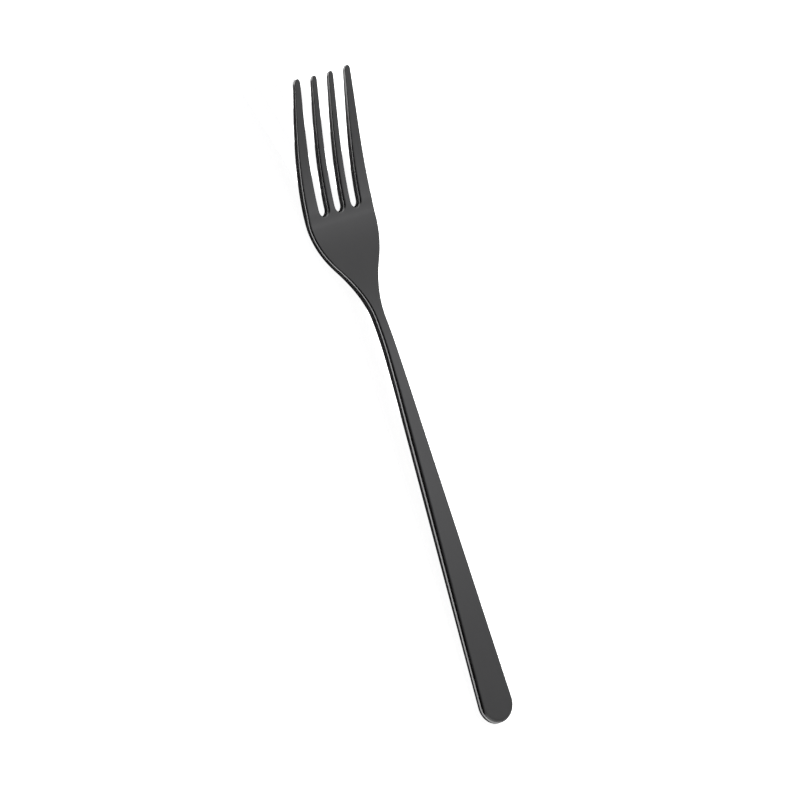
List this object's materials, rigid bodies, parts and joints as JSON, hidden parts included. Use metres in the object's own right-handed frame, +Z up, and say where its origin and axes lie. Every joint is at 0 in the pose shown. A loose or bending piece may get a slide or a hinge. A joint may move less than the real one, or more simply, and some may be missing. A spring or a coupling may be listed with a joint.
{
  "type": "dinner fork",
  "caption": "Slim dark coated steel dinner fork with a flat round-ended handle, a narrow neck, a broad palm and long tapering tines.",
  "frame": {"origin": "middle of the fork's footprint on the table: halfway between handle end and tips, at the height of the back of the head", "axes": "+Y from the handle end towards the tips of the tines, +Z up out of the face that the tines curve towards, +X across to the user's right when the tines point away"},
  "size_m": [0.0256, 0.205, 0.0152],
  "materials": {
    "coated_steel": "stainless steel with a thin dark grey coating, satin to semi-gloss"
  },
  "bodies": {
    "root": {"handle": "coated_steel", "neck": "coated_steel", "head": "coated_steel", "tine_1": "coated_steel", "tine_2": "coated_steel", "tine_3": "coated_steel", "tine_4": "coated_steel"}
  },
  "joints": []
}
